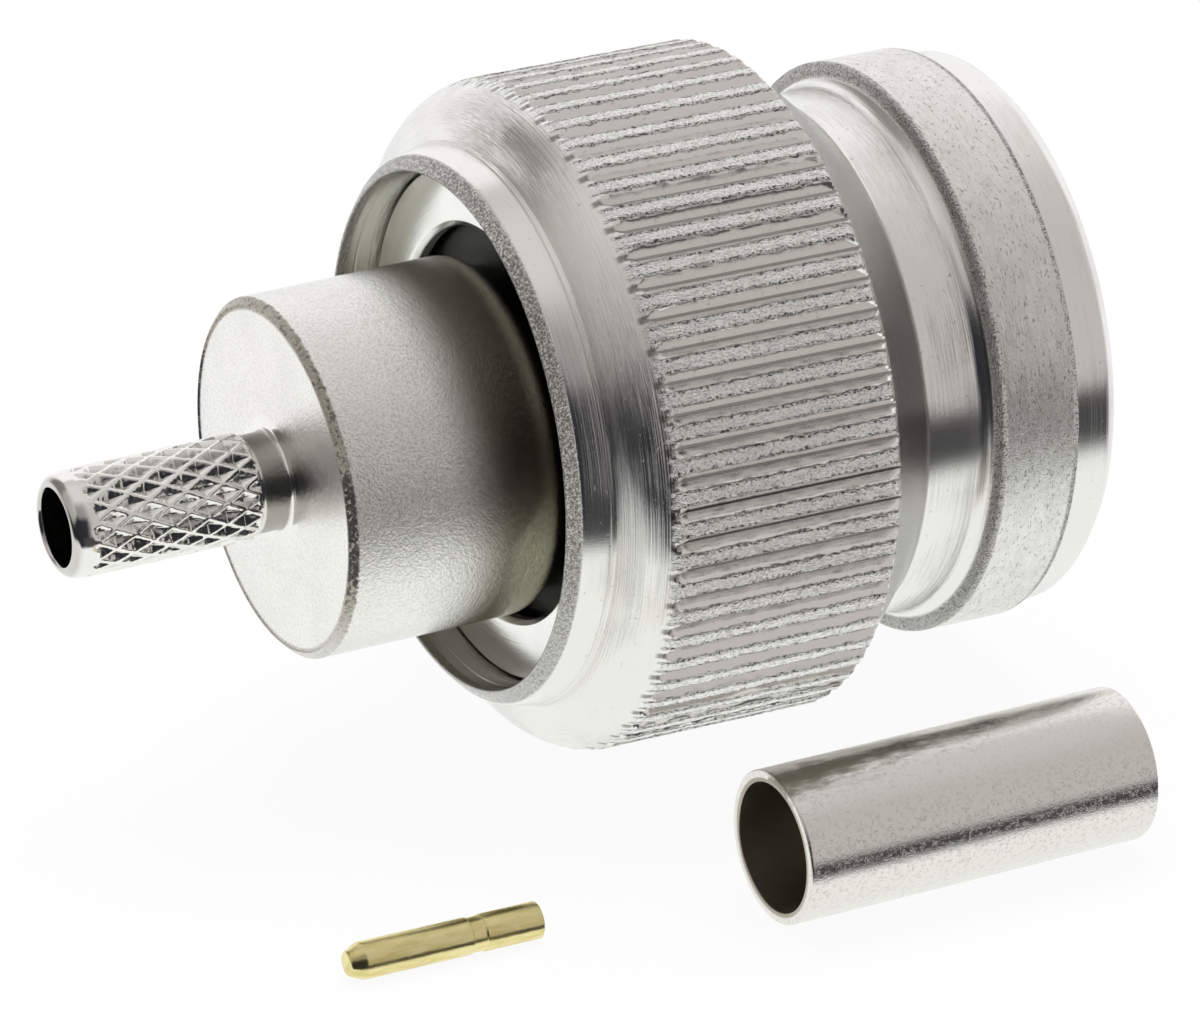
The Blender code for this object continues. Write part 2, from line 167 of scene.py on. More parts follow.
class StageSettings(bpy.types.PropertyGroup):
    """The floor, the light round the object and the camera."""
    floor: colour("Floor", "Floor under the object", (0.92, 0.92, 0.92))
    ground: colour("Ground", "Light ground round the object", (0.955, 0.965, 0.94))
    ceiling: colour("Ceiling", "Ceiling of the room", (0.71, 0.70, 0.69))
    wall: colour("Wall", "Grey wall of the room", (0.57, 0.54, 0.525))
    back_wall: colour("Back wall", "Darker wall at the back, on the left", (0.27, 0.265, 0.25))
    window: colour("Window", "Bright side at the back, on the right", (1.0, 1.0, 1.0))
    upper_side: colour("Upper side", "Wall above the dark side", (0.30, 0.29, 0.285))
    dark_side: colour("Dark side", "Dark side on the camera's left", (0.028, 0.029, 0.034))
    table_edge: colour("Table edge", "Dark edge of the table in front of the camera", (0.065, 0.064, 0.066))
    lamp: FloatProperty(name="Lamp", description="Power of the soft lamp above, in watts", default=0.8, min=0)
    lens: FloatProperty(name="Lens", description="Focal length in millimetres", default=270, min=10)


# Turned shapes

def rounded(corners, steps=4):
    """Points (place, radius) of a closed line with rounded corners; a corner is (place, radius, fillet)."""
    out = []
    count = len(corners)
    for index, (place, radius, fillet) in enumerate(corners):
        here = Vector((place, radius))
        before = Vector(corners[index - 1][:2])
        after = Vector(corners[(index + 1) % count][:2])
        if not fillet:
            out.append((place, radius))
            continue
        back, ahead = (before - here), (after - here)
        reach = min(fillet, back.length * 0.49, ahead.length * 0.49)
        start, end = here + back.normalized() * reach, here + ahead.normalized() * reach
        for step in range(steps + 1):
            t = step / steps
            point = start * (1 - t) ** 2 + here * 2 * t * (1 - t) + end * t ** 2
            out.append((point.x, point.y))
    return out


def divided(points, start, end, spacing):
    """The same line with points added between two places, so that no step there is longer than spacing."""
    out = []
    for point, following in zip(points, points[1:]):
        out.append(point)
        low, high = min(point[0], following[0]), max(point[0], following[0])
        if high <= start or low >= end:
            continue
        gap = math.hypot(following[0] - point[0], following[1] - point[1])
        steps = int(math.ceil(gap / spacing - 1e-6))
        for step in range(1, steps):
            t = step / steps
            out.append((point[0] + (following[0] - point[0]) * t, point[1] + (following[1] - point[1]) * t))
    return out + points[-1:]


class Turning:
    """Collects the points and faces of a piece that is turned about the X axis."""

    def __init__(self):
        self.points = []
        self.faces = []

    def ring(self, place, radius, angles):
        """A ring of points, or one point on the axis where the radius is nought."""
        first = len(self.points)
        for angle in angles if radius else angles[:1]:
            self.points.append((place, radius * math.cos(angle), radius * math.sin(angle)))
        return list(range(first, len(self.points)))

    def rings(self, line, angles):
        return [self.ring(place, radius, angles) for place, radius in line]

    def bridge(self, a, b):
        """Faces between two rings, with fans where one has a multiple of the other's points."""
        if len(a) > len(b):
            for face in self.spans(b, a):
                self.faces.append(tuple(reversed(face)))
        else:
            self.faces.extend(self.spans(a, b))

    @staticmethod
    def spans(few, many):
        count, times = len(few), len(many) // len(few)
        if times == 1 and count > 1:
            return list(zip(few, few[1:] + few[:1], many[1:] + many[:1], many))
        out = []
        for i in range(count):
            j = (i + 1) % count
            for k in range(times):
                here, following = many[i * times + k], many[(i * times + k + 1) % len(many)]
                near = few[i] if k < times / 2 or count == 1 else few[j]
                out.append((near, following, here))
            if count > 1:
                middle = many[(i * times + math.ceil(times / 2)) % len(many)]
                out.append((few[i], few[j], middle))
        return out

    def loop(self, rings, closed=True):
        for a, b in zip(rings, rings[1:] + rings[:1] if closed else rings[1:]):
            self.bridge(a, b)

    def mesh(self):
        """The finished mesh, with doubles merged and faces outwards."""
        mesh = bpy.data.meshes.new("turned")
        mesh.from_pydata(self.points, [], self.faces)
        shape = bmesh.new()
        shape.from_mesh(mesh)
        bmesh.ops.remove_doubles(shape, verts=shape.verts, dist=MERGE)
        bmesh.ops.dissolve_degenerate(shape, edges=shape.edges, dist=MERGE / 10)
        bmesh.ops.recalc_face_normals(shape, faces=shape.faces)
        if shape.calc_volume(signed=True) < 0:
            bmesh.ops.reverse_faces(shape, faces=shape.faces)
        shape.to_mesh(mesh)
        shape.free()
        return mesh


def even(count):
    """Angles of evenly spaced columns, with one of them straight down."""
    return [2 * math.pi * index / count - math.pi / 2 for index in range(count)]


def turned(line, columns, closed=True):
    """A piece turned from one line of (place, radius) points."""
    turning = Turning()
    turning.loop(turning.rings(line, even(columns)), closed)
    return turning.mesh()


# Putting pieces in their place

def nut_place():
    return Matrix.Translation(LIP)


def body_place():
    """The body's own frame: it hangs low at the rear, turned about the front of the slotted contact."""
    pivot = Vector((SLEEVE_FRONT, 0, 0))
    tilt = Matrix.Rotation(-BODY_TILT, 4, "Y")
    return Matrix.Translation(LIP + pivot) @ tilt @ Matrix.Translation(-pivot)


def loose_place(low, high, turn):
    """The frame of a loose round piece that lies on the floor, from the box of its solid."""
    return Matrix.Translation((Vector(low) + Vector(high)) / 2) @ Matrix.Rotation(turn, 4, "Z")


def ferrule_place():
    return loose_place(FERRULE_LOW, FERRULE_HIGH, FERRULE_TURN)


def pin_place():
    return loose_place(PIN_LOW, PIN_HIGH, PIN_TURN)


def shown(name, data):
    """A new object in the scene."""
    made = bpy.data.objects.new(name, data)
    bpy.context.scene.collection.objects.link(made)
    return made


def plain(holder):
    """Bake an object with its modifiers to a plain mesh and remove the object."""
    bpy.context.view_layer.update()
    evaluated = holder.evaluated_get(bpy.context.evaluated_depsgraph_get())
    result = bpy.data.meshes.new_from_object(evaluated)
    holder.modifiers.clear()
    bpy.data.objects.remove(holder, do_unlink=True)
    return result


def settle(node, mesh, place, finish, sharp, body):
    """Make the piece that stands for a solid, of a mesh about the X axis, with its flats kept flat."""
    mesh.transform(place)
    mesh.shade_smooth()
    mesh.set_sharp_from_angle(angle=math.radians(sharp))
    mesh.materials.clear()
    mesh.materials.append(finish)
    holder = shown("blank", mesh)
    flats = holder.modifiers.new("Flats", "WEIGHTED_NORMAL")
    flats.keep_sharp = True
    flats.weight = 50
    piece = shown(node + "_visual", plain(holder))
    piece.data.name = piece.name
    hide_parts(node)
    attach(piece, body)


def baked(mesh, make_tree, settings):
    """Run a Geometry Nodes tree on a mesh and return the plain mesh that it makes."""
    tree = make_tree(settings)
    holder = shown("blank", mesh)
    modifier = holder.modifiers.new(tree.name, "NODES")
    modifier.node_group = tree
    for item in tree.interface.items_tree:
        if item.item_type == "SOCKET" and item.in_out == "INPUT" and item.name in settings:
            modifier[item.identifier] = settings[item.name]
    return plain(holder)


# Node trees

class Value:
    """What a node gives out, with the arithmetic on it that adds more nodes."""

    def __init__(self, wiring, socket):
        self.wiring = wiring
        self.socket = socket

    def __add__(self, other):
        return self.wiring.calc("ADD", self, other)

    def __radd__(self, other):
        return self.wiring.calc("ADD", other, self)

    def __sub__(self, other):
        return self.wiring.calc("SUBTRACT", self, other)

    def __rsub__(self, other):
        return self.wiring.calc("SUBTRACT", other, self)

    def __mul__(self, other):
        return self.wiring.calc("MULTIPLY", self, other)

    def __truediv__(self, other):
        return self.wiring.calc("DIVIDE", self, other)


class Wiring:
    """Adds and joins the nodes of one tree."""

    def __init__(self, tree):
        self.tree = tree

    def node(self, name, **settings):
        made = self.tree.nodes.new(name)
        for key, value in settings.items():
            setattr(made, key, value)
        return made

    def feed(self, socket, value):
        """Join a socket to a value, or set it to a plain one."""
        if isinstance(value, Value):
            self.tree.links.new(value.socket, socket)
        else:
            socket.default_value = value

    def out(self, name, values=(), output=0, **settings):
        """One output of a new node; the values go to its named inputs, or else to its first ones."""
        made = self.node(name, **settings)
        for place, value in values.items() if isinstance(values, dict) else enumerate(values):
            self.feed(made.inputs[place], value)
        return Value(self, made.outputs[output])

    def calc(self, operation, *values):
        return self.out("ShaderNodeMath", values, operation=operation)

    def max(self, *values):
        return self.calc("MAXIMUM", *values)

    def min(self, *values):
        return self.calc("MINIMUM", *values)

    def ramp(self, value, low, high, to_low=0.0, to_high=1.0, smooth=True):
        """A value between two limits, brought to between two others."""
        return self.out("ShaderNodeMapRange", (value, low, high, to_low, to_high),
                        interpolation_type="SMOOTHSTEP" if smooth else "LINEAR")

    def between(self, value, low, high, soft):
        """One between two limits and nothing outside them, with soft ends."""
        return self.ramp(value, low - soft, low + soft) * self.ramp(value, high - soft, high + soft, 1, 0)

    def parts(self, vector):
        made = self.node("ShaderNodeSeparateXYZ")
        self.feed(made.inputs[0], vector)
        return [Value(self, socket) for socket in made.outputs]

    def about_axis(self, vector):
        """The three parts of a vector, and its distance from the X axis."""
        x, y, z = self.parts(vector)
        return x, y, z, self.calc("SQRT", y * y + z * z)

    def turn(self, y, z):
        """Angle about the X axis, as a share of a turn."""
        return self.calc("ARCTAN2", z, y) / (2 * math.pi)

    def vector(self, x, y, z):
        return self.out("ShaderNodeCombineXYZ", (x, y, z))

    def noise(self, vector, scale, detail=2.0, rough=0.5, seed=0.0):
        """Noise around one half at a place; the scale is in features for each metre."""
        apart = (seed * 7.3, seed * 3.1, seed * 5.7)
        stretched = (vector, (scale, scale, scale), apart)
        place = self.out("ShaderNodeVectorMath", stretched, operation="MULTIPLY_ADD")
        values = {"Vector": place, "Scale": 1, "Detail": detail, "Roughness": rough}
        return self.out("ShaderNodeTexNoise", values)

    def mix(self, share, a, b):
        """Mix of two colours."""
        a, b = (value if isinstance(value, Value) else (*value, 1) for value in (a, b))
        return self.out("ShaderNodeMix", {0: share, 6: a, 7: b}, 2, data_type="RGBA")

    def layers(self, base, *layers):
        """A colour with others laid over it; each comes after its share."""
        for share_of_layer, colour_of_layer in layers:
            base = self.mix(share_of_layer, base, colour_of_layer)
        return base


def new_shape_tree(name, settings):
    """A Geometry Nodes tree with an input for each setting; returns it, its wiring and its inputs."""
    tree = bpy.data.node_groups.new(name, "GeometryNodeTree")
    tree.interface.new_socket("Geometry", in_out="INPUT", socket_type="NodeSocketGeometry")
    kinds = {int: "NodeSocketInt", float: "NodeSocketFloat"}
    for label, value in settings.items():
        kind = kinds.get(type(value), "NodeSocketMaterial")
        tree.interface.new_socket(label, in_out="INPUT", socket_type=kind).default_value = value
    tree.interface.new_socket("Geometry", in_out="OUTPUT", socket_type="NodeSocketGeometry")
    wiring = Wiring(tree)
    given = wiring.node("NodeGroupInput")
    return tree, wiring, {socket.name: Value(wiring, socket) for socket in given.outputs}


def close_shape_tree(w, given, place, new_radius):
    """Move the points of a turned piece to a new radius, and end in real geometry with its material."""
    x, y, z, radius = place
    scale = new_radius / radius
    position = w.vector(x, y * scale, z * scale)
    moved = w.out("GeometryNodeSetPosition", {"Geometry": given["Geometry"], "Position": position})
    real = w.out("GeometryNodeRealizeInstances", [moved])
    painted = w.out("GeometryNodeSetMaterial", {"Geometry": real, "Material": given["Material"]})
    w.feed(w.node("NodeGroupOutput").inputs[0], painted)


def straight_knurl_tree(settings):
    """Cuts V grooves round a turned blank and tears the lands between them."""
    tree, w, given = new_shape_tree("Straight knurl", settings)
    x, y, z, radius = place = w.about_axis(w.out("GeometryNodeInputPosition"))
    from_valley = w.calc("PINGPONG", (w.turn(y, z) + 0.25) * given["Ridges"], 0.5)
    ragged = w.noise(w.vector(x * 0.6, y, z), 13000, 3, 0.65, 3)
    wear = (ragged - 0.5) * given["Edge wear"]
    edge = given["Groove share"] + wear
    depth = given["Crest radius"] - given["Valley radius"]
    climb = (from_valley - given["Floor share"]) / (edge - given["Floor share"])
    run_out = w.ramp(x, 0.00166, 0.00212, 1, 0, smooth=False)
    climb = w.max(climb, 0) + run_out
    wall = given["Valley radius"] + climb * depth
    cut = w.min(radius, wall)
    on_land = w.ramp(cut, given["Crest radius"] - 0.00008, given["Crest radius"] - 0.00001)
    coarse = w.noise(w.vector(x * 0.45, y, z), 7000, 4, 0.7, 8)
    torn = w.ramp(coarse, 0.47, 0.68)
    tear = torn * on_land * given["Tear depth"]
    close_shape_tree(w, given, place, cut - tear)
    return tree


def diamond_knurl_tree(settings):
    """Sinks a net of diamonds into a turned barrel, with raised lines between them."""
    tree, w, given = new_shape_tree("Diamond knurl", settings)
    position = w.out("GeometryNodeInputPosition")
    x, y, z, radius = place = w.about_axis(position)
    round_the = w.turn(y, z) * given["Diamonds"]
    along = (x - given["Start"]) / given["Diamond length"]
    shift = (w.noise(position, 900, 1, 0.5, 1) - 0.5) * 0.12
    right = w.calc("PINGPONG", round_the + along + shift, 0.5)
    left = w.calc("PINGPONG", round_the - along + shift, 0.5)
    near_line = w.min(right, left)
    worn = (w.noise(position, 9000, 3, 0.6, 2) - 0.5) * 0.16
    pit = w.ramp(near_line + worn, given["Line share"], 0.46, smooth=False)
    ragged = (w.noise(position, 2600, 2, 0.6, 3) - 0.5) * 0.0006
    start = w.ramp(x + ragged, given["Start"], given["Start"] + 0.00012)
    end = w.ramp(x + ragged, given["End"] - 0.00008, given["End"], 1, 0)
    outside = w.ramp(radius, given["Line radius"] - 0.00004, given["Line radius"] - 0.00001)
    zone = start * end * outside
    sink = pit * zone * given["Pit depth"]
    close_shape_tree(w, given, place, radius - sink)
    return tree


# Finishes

class Finish(Wiring):
    """The nodes of a material, which see each point in the frame of its piece."""

    def __init__(self, name, place):
        self.material = bpy.data.materials.new(name)
        self.material.use_nodes = True
        super().__init__(self.material.node_tree)
        seen = self.out("ShaderNodeTexCoord", output="Object")
        frame_of_piece = {"Vector": seen, "Location": place.to_translation(), "Rotation": place.to_euler()}
        self.point = self.out("ShaderNodeMapping", frame_of_piece, vector_type="TEXTURE")

    def bump(self, height, distance, normal=None):
        """A normal that follows a height, on top of another one."""
        values = {"Strength": 1, "Distance": distance, "Height": height}
        if normal:
            values["Normal"] = normal
        return self.out("ShaderNodeBump", values)

    def close(self, base, roughness, normal, metallic=1):
        """The material, once its shader has what it needs."""
        shader = self.tree.nodes["Principled BSDF"]
        shader.inputs["Metallic"].default_value = metallic
        for name, value in (("Base Color", base), ("Roughness", roughness), ("Normal", normal)):
            self.feed(shader.inputs[name], value)
        return self.material


def darker(base, amount):
    """A colour brought down to an amount of itself."""
    return [part * amount for part in base]


def nut_finish(finishes, nut):
    """Bright nickel with turning marks, torn on the lands of the grip and worn at the edges; painted shade
    darkens the groove floors, notches, recess, front chamfer and lip, and painted glints brighten the lands.
    """
    w = Finish("bright_nickel", nut_place())
    point = w.point
    x, y, z, radius = w.about_axis(point)
    marks = w.noise(w.vector(x, radius, y * 0.012), 26000, 3, 0.7, 2)
    slow = w.noise(point, 260, 3, 0.6, 4)
    along = w.vector(x * 0.6, y, z)
    crumbs = w.noise(along, 22000, 2, 0.7, 7)
    streaks = w.noise(w.vector(x * 0.12, y, z), 21000, 2, 0.6, 33)
    fine = w.noise(point, 30000, 3, 0.7, 9)
    dents = w.ramp(w.noise(point, 8500, 3, 0.7, 12), 0.68, 0.72)

    from_valley = w.calc("PINGPONG", (w.turn(y, z) + 0.25) * nut.ridges, 0.5)
    wander = (w.noise(along, 6500, 3, 0.7, 21) - 0.5) * 0.16
    worn_place = from_valley + wander
    grip_length = w.between(x, 0.00180, 0.00734, 0.00012)
    grip = grip_length * w.ramp(radius, 0.00725, 0.00730)
    side = nut.groove_share
    land = grip * w.ramp(worn_place, side - 0.02, side + 0.02)
    torn_edge = grip * w.between(worn_place, side - 0.035, side + 0.075, 0.02)
    # painted shade: the floor of each groove of the grip is darkened
    valley = grip_length * w.ramp(radius, 0.0070, 0.00715) * w.ramp(from_valley, 0.018, 0.04, 1, 0)
    # painted shade: a dark point where each groove runs out into the shoulder
    tip = w.between(x, 0.00168, 0.00192, 0.00006) * w.ramp(radius, 0.0069, 0.0070)
    notch_shade = tip * w.ramp(worn_place, 0.05, 0.16, 1, 0)

    ring_worn = w.between(x, 0.01026, 0.01222, 0.00003) * w.ramp(radius, 0.0060, 0.0062)
    ring_sides = w.between(x, 0.01026, 0.01040, 0.00004) + w.between(x, 0.01209, 0.01226, 0.00003)
    ring_edge = ring_worn * ring_sides
    lip_worn = w.ramp(x, 0.00018, 0.00026, 1, 0) * w.ramp(radius, 0.00574, 0.00578)
    # painted shade: the bore behind the washer is darkened
    recess = w.ramp(x, 0.00135, 0.00139, 1, 0) * w.ramp(radius, 0.00577, 0.00579, 1, 0)
    shoulder = w.between(x, 0.0008, 0.0019, 0.0002)
    brushed = w.between(x, 0.0088, 0.0101, 0.00006) + w.ramp(x, 0.01222, 0.0123)
    rough_share = w.max(w.max(torn_edge, lip_worn * 0.55), w.max(land * 0.15, ring_edge * 0.8))
    # shade: dark specks in the torn spots, worn lip and ring, partly the torn metal's own colour and partly
    # painted shade, plus the painted shade of the groove floors and notches
    shade = w.max(rough_share * w.ramp(crumbs, 0.41, 0.48, 1, 0), w.max(valley * 0.7, notch_shade * 0.8))

    along_ring = w.vector(x * 1.6, y * 0.6, z * 0.6)
    blotches = ring_worn * w.ramp(w.noise(along_ring, 2600, 5, 0.7, 43), 0.30, 0.72)
    specks = ring_worn * w.ramp(w.noise(along_ring, 12000, 2, 0.6, 45), 0.34, 0.40, 1, 0)
    # painted shade: the front chamfer of the grip is darkened, more on its upper side
    chamfer = w.between(x, 0.00730, 0.00866, 0.00006) * w.ramp(radius, 0.00726, 0.00731, 1, 0)
    chamfer_shade_share = 0.38 + w.between(z, 0.0006, 0.0042, 0.0012) * 0.61
    # painted shade: the worn lip's face is darkened towards the top
    lip_top_shade = lip_worn * w.ramp(x, 0.00003, 0.00007) * w.ramp(z, -0.0035, 0.001, 0.0, 1)
    # the worn lip: its real wear is drawn as dark specks (painted shade) and near-white specks (painted
    # glints), laid on more strongly towards the top
    lip_glint_share = w.ramp(w.noise(point, 17000, 3, 0.75, 47), 0.44, 0.56)
    worn_lip_glints = w.mix(lip_glint_share, (0.16, 0.15, 0.125), (0.98, 0.97, 0.94))
    tinted = w.layers(
        finishes.nickel,
        (blotches * 0.30, (0.50, 0.48, 0.44)),
        (specks * 0.6, (0.30, 0.285, 0.25)),
        (dents * 0.35, (0.36, 0.345, 0.32)),
        # painted glints: near-white specks on the lands of the grip
        (land * w.ramp(crumbs, 0.42, 0.50), (1.0, 0.995, 0.98)),
        (recess * 0.9, (0.34, 0.335, 0.28)),
        (chamfer * chamfer_shade_share, (0.30, 0.30, 0.29)),
        (lip_top_shade * 0.3, (0.36, 0.35, 0.31)),
        (lip_worn * w.ramp(z, -0.0045, 0.002, 0.2, 1) * 0.62, worn_lip_glints),
        (shade * 0.92, finishes.painted_grip_shade),
    )
    roughness = w.ramp(slow, 0.35, 0.65, 0.12, 0.18) + ring_worn * 0.05

    patches = w.ramp(w.noise(point, 500, 2, 0.5, 31), 0.40, 0.60, 0.3, 1)
    turning = (marks - 0.5) * (1 - grip) * (1.2 + brushed * (patches * 1.6) + shoulder * (patches * 6.0))
    normal = w.bump(turning, 0.0000045)
    scuffs = (fine - 0.5) * (ring_worn * 0.8 + land + 0.14)
    rubbed = w.noise(w.vector(x, y * 0.3, z * 0.3), 9000, 3, 0.7, 41)
    scuffs = scuffs + (rubbed - 0.5) * ring_worn * 1.6
    lengthwise = (streaks - 0.5) * land * 3.0
    normal = w.bump(scuffs + lengthwise, 0.000011, normal)
    normal = w.bump(rough_share * (crumbs - 0.5), 0.00024, normal)
    return w.close(tinted, roughness, w.bump(dents * -1, 0.000012, normal))


def body_finish(finishes):
    """Bead-blasted nickel with an even fine grain and a worn rear edge, with painted shade in the neck and
    pits, and painted shade and reflection bands on its front end, near black inside the gap.
    """
    w = Finish("satin_nickel", body_place())
    point = w.point
    x, _, z, radius = w.about_axis(point)
    grain = w.noise(point, 17000, 3, 0.7, 3)
    coarse = w.noise(point, 7000, 2, 0.6, 13)
    blotch = w.noise(point, 700, 3, 0.6, 8)
    nicks = w.noise(point, 9000, 4, 0.7, 15)
    wander = (nicks - 0.5) * 0.00012
    edge = w.between(x + wander, -0.00424, -0.00403, 0.00003) * w.ramp(radius, 0.0037, 0.0038)
    barrel = w.ramp(radius, 0.00125, 0.0016)
    upper = w.ramp(z, -0.0013, 0.0006)
    # painted shade: towards its front end near the nut the body turns dark olive, darker on its upper side,
    # for the shade and dark reflections of the nut's gap
    painted_shade = w.ramp(x + w.ramp(z, -0.003, 0.003, -0.0003, 0.0002), -0.0018, -0.0003) * barrel
    # painted shade: the body is near black where it reaches into the gap inside the nut
    gap = w.ramp(x, 0.00094, 0.00105) * barrel
    speckle = w.ramp(grain, 0.38, 0.54, 0.24, 0) * w.ramp(barrel, 0, 1, 0.3, 1)
    # painted reflection: a lighter brownish band right at the front end, starting further back on the lower
    # side
    reflection_band = w.ramp(x + w.ramp(upper, 0, 1, 0.00070, 0), 0.00022, 0.00062)
    at_front = w.between(z, -0.0012, 0.0016, 0.0006)
    chips = w.mix(at_front, (0.20, 0.185, 0.155), (0.03, 0.028, 0.025))
    chipped = w.mix(w.ramp(nicks - at_front * 0.14, 0.41, 0.46), chips, (0.58, 0.54, 0.46))
    shaded_end = w.mix(upper, (0.43, 0.42, 0.32), (0.19, 0.18, 0.135))
    top = w.ramp(z, 0.0008, 0.0024)
    end_reflection = w.mix(upper, (0.80, 0.78, 0.62), w.mix(top, (0.42, 0.385, 0.30), (0.84, 0.79, 0.67)))
    # painted shade: the neck behind the rear face and the pits of the diamond knurl are darkened
    neck = w.between(x, -0.00483, -0.00427, 0.00003) * w.ramp(radius, 0.0013, 0.0014, 1, 0)
    pits = w.ramp(radius, 0.00106, 0.00115, 1, 0) * w.ramp(x, -0.00490, -0.00485, 1, 0)
    base = w.layers(
        finishes.satin_nickel,
        (w.ramp(blotch, 0.3, 0.7), darker(finishes.satin_nickel, 0.95)),
        (edge * w.ramp(z, -0.0032, -0.0012, 0.25, 0.95), chipped),
        (painted_shade * 0.97, w.mix(reflection_band, shaded_end, end_reflection)),
        (speckle, (0.40, 0.39, 0.36)),
        (w.max(neck, pits * 0.55) * 0.8, (0.34, 0.33, 0.29)),
        (gap, (0.03, 0.03, 0.027)),
    )
    blasted = w.ramp(grain, 0.3, 0.7, 0.11, 0.16)
    roughness = w.ramp(barrel, 0, 1, 0.70, 1.0) * blasted + neck * 0.10
    height = grain + coarse * 0.4
    amount = w.max(w.ramp(barrel, 0, 1, 0.12, 1.0), neck * 0.9) * w.ramp(x, -0.00419, -0.00405, 0.45, 1.0)
    normal = w.bump((height - 0.7) * amount, 0.000021)
    return w.close(base, roughness, w.bump(edge * (nicks - 0.5), 0.00007, normal))


def plain_metal(name, base, roughness, drawn, depth):
    """Smooth plated metal in the plug, with faint lines round the axis and slow unevenness."""
    w = Finish(name, nut_place())
    x, _, _, radius = w.about_axis(w.point)
    marks = w.noise(w.vector(x, radius, 0), drawn, 3, 0.6, 2)
    slow = w.noise(w.point, 420, 3, 0.6, 5)
    uneven = w.ramp(slow, 0.3, 0.7)
    rough = w.ramp(slow, 0.3, 0.7, roughness * 0.85, roughness * 1.2)
    return w.close(w.mix(uneven, base, darker(base, 0.93)), rough, w.bump(marks + slow, depth))


def ferrule_finish(finishes):
    """Bright nickel over drawn tube: fine worn grain, short scratches and a painted dark reflection along its
    top.
    """
    w = Finish("ferrule_nickel", ferrule_place())
    point = w.point
    x, y, z, radius = w.about_axis(point)
    drawn = w.noise(w.vector(x * 0.2, y, z), 24000, 3, 0.6, 3)
    fine = w.noise(point, 21000, 3, 0.7, 5)
    worms = w.calc("ABSOLUTE", w.noise(point, 14000, 2, 0.6, 17) - 0.5)
    scratches = w.ramp(worms, 0.0, 0.03, 1, 0) * w.ramp(w.noise(point, 9000, 1, 0.5, 19), 0.45, 0.6)
    slow = w.noise(point, 500, 2, 0.5, 9)
    outside = w.ramp(radius, 0.00150, 0.00155)
    ragged = (w.noise(w.vector(x * 0.3, y, z), 5000, 3, 0.6, 23) - 0.5) * 0.5
    # painted reflection: a dark olive band along the top of the ferrule, from one end over most of its
    # length, where the nut's dark side is reflected
    from_top = w.calc("ARCTAN2", y * -1, z) + ragged
    reach = w.ramp(x + ragged * 0.004, -0.0043, 0.0018, 0.50, -0.05, smooth=False)
    painted_shade = w.ramp(reach - from_top, -0.14, 0.24) * w.ramp(from_top, -0.2, 0.0)
    inner = w.mix(w.ramp(slow, 0.3, 0.7), (0.54, 0.50, 0.42), (0.44, 0.41, 0.35))
    plated = w.layers(finishes.nickel, (0.16, (0.60, 0.54, 0.46)), (scratches * 0.30, (0.34, 0.33, 0.31)),
                      (painted_shade * 0.9, (0.20, 0.19, 0.14)))
    roughness = w.ramp(slow, 0.3, 0.7, 0.07, 0.11) + w.ramp(outside, 0, 1, 0.3, 0)
    height = drawn * 0.3 + fine - scratches * 0.5
    return w.close(w.mix(outside, inner, plated), roughness, w.bump(height * outside, 0.0000045))


def contact_finish(finishes):
    """Gold plating with streaks from turning and the darker patches that they leave."""
    w = Finish("gold_plating", pin_place())
    x, y, z = w.parts(w.point)
    streaks = w.noise(w.vector(x * 0.2, y, z), 6000, 3, 0.6, 4)
    fine = w.noise(w.point, 26000, 3, 0.6, 6)
    patches = [part * amount for part, amount in zip(finishes.gold, (0.86, 0.84, 0.7))]
    base = w.mix(w.ramp(streaks, 0.35, 0.65), finishes.gold, patches)
    return w.close(base, w.ramp(streaks, 0.3, 0.7, 0.16, 0.26), w.bump(streaks + fine * 0.3, 0.0000045))


def soft_finish(name, base, roughness, grain_scale, depth):
    """Plastic or rubber with a fine surface and a little unevenness in its colour."""
    w = Finish(name, nut_place())
    grain = w.noise(w.point, grain_scale, 3, 0.6, 2)
    uneven = w.mix(w.ramp(grain, 0.3, 0.7), base, darker(base, 0.93))
    rough = w.ramp(grain, 0.3, 0.7, roughness - 0.05, roughness + 0.08)
    return w.close(uneven, rough, w.bump(grain, depth), metallic=0)


# Pieces

def nut_columns(nut):
    """Angles of the fine columns: fourteen for each ridge, close together at the edges of the lands."""
    half = (0.0, nut.floor_share, 0.115, 0.205, nut.groove_share - 0.012, nut.groove_share + 0.02, 0.40)
    inside = list(half) + [0.5] + [1 - value for value in reversed(half[1:])]
    step = 2 * math.pi / nut.ridges
    return [(index + value) * step - math.pi / 2 for index in range(nut.ridges) for value in inside]


def thread_strip(turning, angles, start, end, nut):
    """Grid of points that follows the thread's own helix, cut off flat at both ends."""
    pitch = nut.thread_pitch
    phases = (0.0, 0.27, 0.53, 0.74, 1.0)
    radii = (nut.thread_crest, nut.thread_crest, nut.thread_root, nut.thread_root, nut.thread_crest)
    per_turn = len(phases) - 1
    columns = len(angles)
    turns = int(math.ceil((end - start) / pitch)) + 2
    rows = []
    for number in range(turns * per_turn + 1):
        whole, part = divmod(number, per_turn)
        row = []
        for column, angle in enumerate(angles):
            place = start + pitch * (whole - 1 + phases[part] + column / columns)
            held = min(max(place, start), end)
            phase = ((held - start) / pitch - column / columns) % 1.0
            radius = float(np.interp(phase, phases, radii))
            turning.points.append((held, radius * math.cos(angle), radius * math.sin(angle)))
            row.append(len(turning.points) - 1)
        rows.append(row)
    for number, (low, high) in enumerate(zip(rows, rows[1:])):
        turning.faces.extend(zip(low, low[1:], high[1:], high))
        if number + 1 + per_turn < len(rows):
            next_low, next_high = rows[number + per_turn][0], rows[number + 1 + per_turn][0]
            turning.faces.append((low[-1], next_low, next_high, high[-1]))
    return rows[0], rows[-per_turn - 1]


